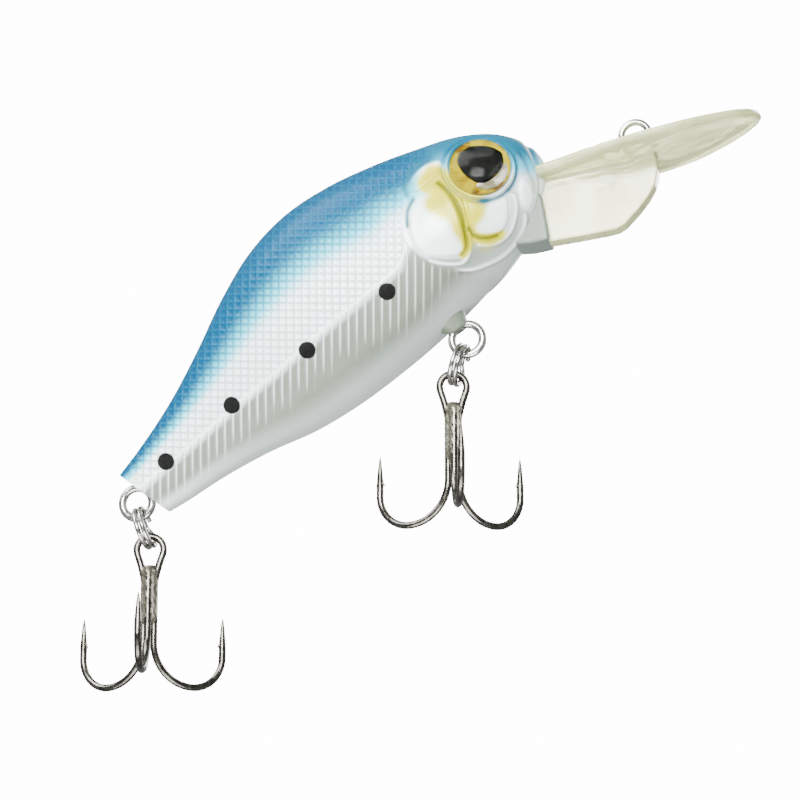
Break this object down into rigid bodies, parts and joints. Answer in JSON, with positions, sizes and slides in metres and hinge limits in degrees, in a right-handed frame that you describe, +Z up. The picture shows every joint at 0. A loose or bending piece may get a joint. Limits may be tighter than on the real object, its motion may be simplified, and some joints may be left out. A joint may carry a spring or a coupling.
{
  "type": "crankbait lure",
  "caption": "Deep-diving crankbait lure with a hollow fish-shaped body, clear diving lip with a keel, moulded-in line tie, rattles, split rings and swinging treble hooks.",
  "frame": {"origin": "centre of the line-tie eye on the diving lip", "axes": "+X horizontal and forward, away from the tail; +Y to the lure's left, normal to its mirror plane; +Z up. The lure hangs from its line tie with the body pitched 35 degrees nose-up and the trebles hanging straight down."},
  "size_m": [0.096, 0.0219, 0.0764],
  "materials": {
    "painted_shell": "gloss paint over moulded scales, blue back, silver sides and pearl belly",
    "clear_lip": "clear, polished",
    "eyelet_wire": "bright nickel",
    "split_ring_steel": "bright nickel",
    "hook_steel": "dark nickel, polished",
    "braze": "rough, plated over",
    "ballast_steel": "ground",
    "eye_foil": "gold holographic film with a black pupil",
    "eye_lens": "clear dome"
  },
  "bodies": {
    "lure_body": {"body_shell_left": "painted_shell", "body_shell_right": "painted_shell", "diving_lip": "clear_lip", "line_tie_wire": "eyelet_wire", "belly_hanger_wire": "eyelet_wire", "tail_hanger_wire": "eyelet_wire", "front_ballast_ball": "ballast_steel", "rear_ballast_ball": "ballast_steel", "eye_foil_left": "eye_foil", "eye_foil_right": "eye_foil", "eye_lens_left": "eye_lens", "eye_lens_right": "eye_lens"},
    "front_ring": {"front_split_ring": "split_ring_steel"},
    "front_treble": {"front_treble_double_hook": "hook_steel", "front_treble_single_hook": "hook_steel", "front_treble_braze": "braze"},
    "rear_ring": {"rear_split_ring": "split_ring_steel"},
    "rear_treble": {"rear_treble_double_hook": "hook_steel", "rear_treble_single_hook": "hook_steel", "rear_treble_braze": "braze"},
    "rattle_lower": {"rattle_ball_lower": "ballast_steel"},
    "rattle_middle": {"rattle_ball_middle": "ballast_steel"},
    "rattle_upper": {"rattle_ball_upper": "ballast_steel"}
  },
  "joints": [
    {"name": "front_ring_swing", "type": "hinge", "parent": "lure_body", "child": "front_ring", "pos_m": [-0.02416, 0, -0.02946], "axis": [0.9511, 0, -0.309], "range_deg": [-70, 70]},
    {"name": "front_treble_swing", "type": "hinge", "parent": "front_ring", "child": "front_treble", "pos_m": [-0.02549, 0, -0.03353], "axis": [0, -1, 0], "range_deg": [-12, 70]},
    {"name": "rear_ring_swing", "type": "hinge", "parent": "lure_body", "child": "rear_ring", "pos_m": [-0.06918, 0, -0.0503], "axis": [0.9511, 0, 0.309], "range_deg": [-70, 70]},
    {"name": "rear_treble_swing", "type": "hinge", "parent": "rear_ring", "child": "rear_treble", "pos_m": [-0.06785, 0, -0.05437], "axis": [0, -1, 0], "range_deg": [-75, 40]},
    {"name": "lower_rattle_slide", "type": "slide", "parent": "lure_body", "child": "rattle_lower", "axis": [0.8192, 0, 0.5736], "range_m": [0, 0.0081]},
    {"name": "middle_rattle_slide", "type": "slide", "parent": "lure_body", "child": "rattle_middle", "axis": [0.8192, 0, 0.5736], "range_m": [0, 0.0081]},
    {"name": "upper_rattle_slide", "type": "slide", "parent": "lure_body", "child": "rattle_upper", "axis": [0.8192, 0, 0.5736], "range_m": [0, 0.0081]}
  ]
}
